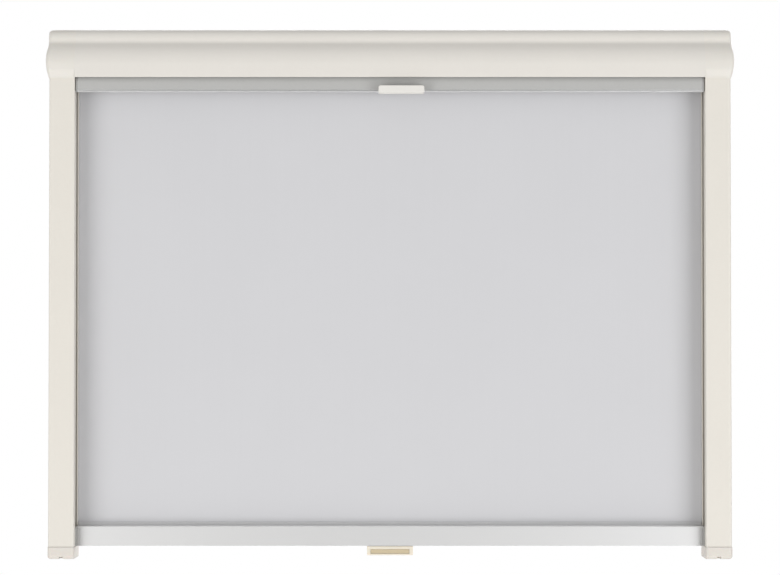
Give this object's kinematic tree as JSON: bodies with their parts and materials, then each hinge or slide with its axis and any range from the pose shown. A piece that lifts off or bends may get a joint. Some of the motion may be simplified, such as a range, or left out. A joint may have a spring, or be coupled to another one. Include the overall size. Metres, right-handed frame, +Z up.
{
  "type": "day and night roller blind",
  "caption": "Cassette window blind with a blackout cloth and a fly screen on two sprung rollers, pulled down by bars that slide in side rails.",
  "frame": {"origin": "middle of the cassette's wall face", "axes": "+Z up, +X to the right as seen from the room, +Y into the wall that carries the blind, so the room is on the -Y side"},
  "size_m": [0.768, 0.0534, 0.5916],
  "materials": {
    "cream_paint": "satin",
    "cream_plastic": "satin",
    "silver_aluminium": "satin",
    "mill_aluminium": "matte",
    "grey_plastic": "matte",
    "white_plastic": "satin",
    "beige_plastic": "satin",
    "natural_nylon": "matte",
    "black_rubber": "matte",
    "spring_steel": "satin",
    "zinc_steel": "satin",
    "silver_cloth": "matte",
    "grey_mesh": "matte",
    "grey_pile": "matte"
  },
  "bodies": {
    "frame": {"cassette_cover": "cream_paint", "cassette_back_plate": "zinc_steel", "end_cap_left": "cream_plastic", "end_cap_right": "cream_plastic", "cap_screw_left_upper": "zinc_steel", "cap_screw_left_lower": "zinc_steel", "cap_screw_right_upper": "zinc_steel", "cap_screw_right_lower": "zinc_steel", "side_rail_left": "cream_paint", "side_rail_right": "cream_paint", "rail_foot_left": "cream_plastic", "rail_foot_right": "cream_plastic", "blackout_pile_seal_left": "grey_pile", "blackout_pile_seal_right": "grey_pile", "blackout_spring_arbor": "spring_steel", "blackout_torsion_spring": "spring_steel", "blackout_idle_bearing": "grey_plastic", "screen_spring_arbor": "spring_steel", "screen_torsion_spring": "spring_steel", "screen_idle_bearing": "grey_plastic", "blackout_cloth": "silver_cloth", "fly_screen_mesh": "grey_mesh"},
    "blackout_roller": {"blackout_roller_tube": "mill_aluminium", "blackout_spring_plug": "natural_nylon", "blackout_idle_plug": "natural_nylon", "blackout_cloth_roll": "silver_cloth"},
    "screen_roller": {"screen_roller_tube": "mill_aluminium", "screen_spring_plug": "natural_nylon", "screen_idle_plug": "natural_nylon", "screen_mesh_roll": "grey_mesh"},
    "blackout_bar": {"blackout_pull_bar": "silver_aluminium", "blackout_bar_plug_left": "grey_plastic", "blackout_bar_plug_right": "grey_plastic", "blackout_hem_rod": "natural_nylon", "blackout_grip": "cream_plastic", "brake_return_spring": "spring_steel"},
    "release_button": {"release_button": "beige_plastic"},
    "brake_left": {"brake_rod_left": "zinc_steel", "brake_pad_left": "black_rubber"},
    "brake_right": {"brake_rod_right": "zinc_steel", "brake_pad_right": "black_rubber"},
    "screen_bar": {"screen_pull_bar": "silver_aluminium", "screen_bar_plug_left": "grey_plastic", "screen_bar_plug_right": "grey_plastic", "screen_hem_rod": "natural_nylon", "screen_handle": "white_plastic"}
  },
  "joints": [
    {"name": "blackout_slide", "type": "slide", "parent": "frame", "child": "blackout_bar", "axis": [0, 0, 1], "range_m": [0, 0.488], "deforming": ["blackout_cloth"]},
    {"name": "screen_slide", "type": "slide", "parent": "frame", "child": "screen_bar", "axis": [0, 0, -1], "range_m": [0, 0.503], "stiffness_N_per_m": 8, "springref_m": -0.6, "deforming": ["fly_screen_mesh"]},
    {"name": "blackout_roller_turn", "type": "hinge", "parent": "frame", "child": "blackout_roller", "pos_m": [0, -0.02093, 0.01225], "axis": [1, 0, 0], "range_deg": [-5, 3460]},
    {"name": "screen_roller_turn", "type": "hinge", "parent": "frame", "child": "screen_roller", "pos_m": [0, -0.02553, -0.00675], "axis": [1, 0, 0], "range_deg": [-5, 3460]},
    {"name": "release_press", "type": "slide", "parent": "blackout_bar", "child": "release_button", "axis": [0, 1, 0], "range_m": [0, 0.0022], "stiffness_N_per_m": 400, "springref_m": -0.001, "deforming": ["brake_return_spring"]},
    {"name": "brake_left_slide", "type": "slide", "parent": "blackout_bar", "child": "brake_left", "axis": [1, 0, 0], "range_m": [0, 0.0022]},
    {"name": "brake_right_slide", "type": "slide", "parent": "blackout_bar", "child": "brake_right", "axis": [-1, 0, 0], "range_m": [0, 0.0022]}
  ],
  "couplings": [
    {"joint": "blackout_roller_turn", "follows": "blackout_slide", "rad_per_m": 123.5},
    {"joint": "screen_roller_turn", "follows": "screen_slide", "rad_per_m": 119.8},
    {"joint": "brake_left_slide", "follows": "release_press", "ratio": 1},
    {"joint": "brake_right_slide", "follows": "release_press", "ratio": 1}
  ]
}
